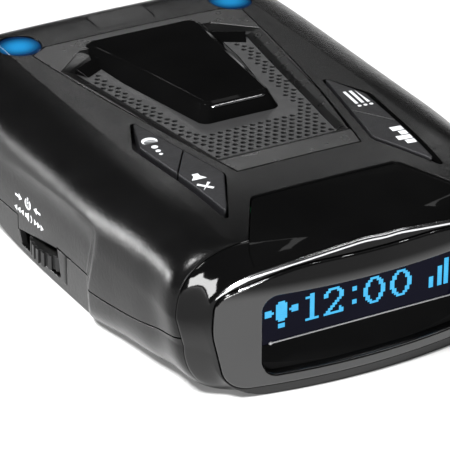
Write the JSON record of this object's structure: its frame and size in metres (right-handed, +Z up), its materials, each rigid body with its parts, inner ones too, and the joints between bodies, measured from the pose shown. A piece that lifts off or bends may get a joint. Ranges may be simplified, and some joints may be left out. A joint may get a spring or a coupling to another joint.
{
  "type": "radar detector",
  "caption": "Dashboard radar detector: wedge-shaped case with glossy display cap, grille, raised laser lens, press keys and side volume wheel.",
  "frame": {"origin": "centre of the flat base, below the middle of the object's box", "axes": "+Z up, +Y towards the windshield end, display faces -Y, volume wheel at -X"},
  "size_m": [0.0766, 0.109, 0.0315],
  "materials": {
    "shell_black": "fine spark-eroded satin",
    "cap_gloss": "high gloss",
    "panel_black": "fine satin",
    "grille_grey": "satin, perforated",
    "lens_gloss": "high gloss, infrared-passing tint",
    "hood_black": "matte",
    "display_glass": "polished, tinted",
    "display_panel": "dark with cyan characters",
    "flex_amber": "polyimide film",
    "blue_lens": "polished blue",
    "key_rubber": "fine texture",
    "switch_steel": "satin",
    "wheel_rubber": "knurled",
    "pom_white": "moulded",
    "shaft_steel": "ground",
    "nylon_black": "moulded",
    "board_green": "solder mask",
    "chip_black": "moulded epoxy",
    "can_steel": "tinned",
    "ceramic_beige": "sintered",
    "horn_zinc": "die-cast",
    "basket_steel": "black enamel",
    "cone_paper": "pressed pulp",
    "magnet_steel": "plated",
    "foam_black": "closed-cell foam",
    "jack_black": "moulded",
    "pin_brass": "nickel-flashed",
    "spring_steel": "drawn wire",
    "screw_black": "black zinc",
    "label_silver": "blank, matte"
  },
  "bodies": {
    "case": {"upper_housing": "shell_black", "lower_housing": "shell_black", "front_bezel": "cap_gloss", "display_fascia": "cap_gloss", "display_hood": "hood_black", "display_glass": "display_glass", "display_module": "display_panel", "display_flex": "flex_amber", "top_panel": "panel_black", "speaker_grille": "grille_grey", "rear_laser_lens": "lens_gloss", "rear_laser_sensor": "chip_black", "periscope_lens_left": "blue_lens", "periscope_lens_right": "blue_lens", "tact_switches": "switch_steel", "wheel_bracket": "nylon_black", "press_switch": "nylon_black", "main_board": "board_green", "board_components": "chip_black", "rf_shield_can": "can_steel", "gps_antenna": "ceramic_beige", "horn_antenna": "horn_zinc", "front_laser_lens": "lens_gloss", "front_laser_sensor": "chip_black", "speaker_basket": "basket_steel", "speaker_cone": "cone_paper", "speaker_magnet": "magnet_steel", "speaker_gasket": "foam_black", "speaker_holder": "nylon_black", "power_jack": "jack_black", "power_jack_pin": "pin_brass", "usb_port": "can_steel", "bracket_guide": "nylon_black", "release_spring": "spring_steel", "case_screws": "screw_black", "board_screws": "screw_black", "rating_label": "label_silver"},
    "left_front_key": {"left_front_key": "key_rubber"},
    "left_rear_key": {"left_rear_key": "key_rubber"},
    "right_front_key": {"right_front_key": "key_rubber"},
    "right_rear_key": {"right_rear_key": "key_rubber"},
    "wheel_carriage": {"wheel_carrier": "pom_white", "volume_encoder": "nylon_black"},
    "wheel": {"volume_wheel": "wheel_rubber", "wheel_shaft": "shaft_steel"},
    "release": {"release_button": "shell_black"}
  },
  "joints": [
    {"name": "left_front_key_press", "type": "slide", "parent": "case", "child": "left_front_key", "axis": [0, 0, -1], "range_m": [0, 0.0005], "stiffness_N_per_m": 400},
    {"name": "left_rear_key_press", "type": "slide", "parent": "case", "child": "left_rear_key", "axis": [0, 0, -1], "range_m": [0, 0.0005], "stiffness_N_per_m": 400},
    {"name": "right_front_key_press", "type": "slide", "parent": "case", "child": "right_front_key", "axis": [0, 0, -1], "range_m": [0, 0.0005], "stiffness_N_per_m": 400},
    {"name": "right_rear_key_press", "type": "slide", "parent": "case", "child": "right_rear_key", "axis": [0, 0, -1], "range_m": [0, 0.0005], "stiffness_N_per_m": 400},
    {"name": "wheel_press", "type": "slide", "parent": "case", "child": "wheel_carriage", "axis": [1, 0, 0], "range_m": [0, 0.0006], "stiffness_N_per_m": 400},
    {"name": "wheel_turn", "type": "hinge", "parent": "wheel_carriage", "child": "wheel", "pos_m": [-0.0287, 0.0055, 0.004], "axis": [0, 0, 1], "continuous": true},
    {"name": "release_press", "type": "slide", "parent": "case", "child": "release", "axis": [0, 0, -1], "range_m": [0, 0.0012], "stiffness_N_per_m": 500, "deforming": ["release_spring"]}
  ]
}
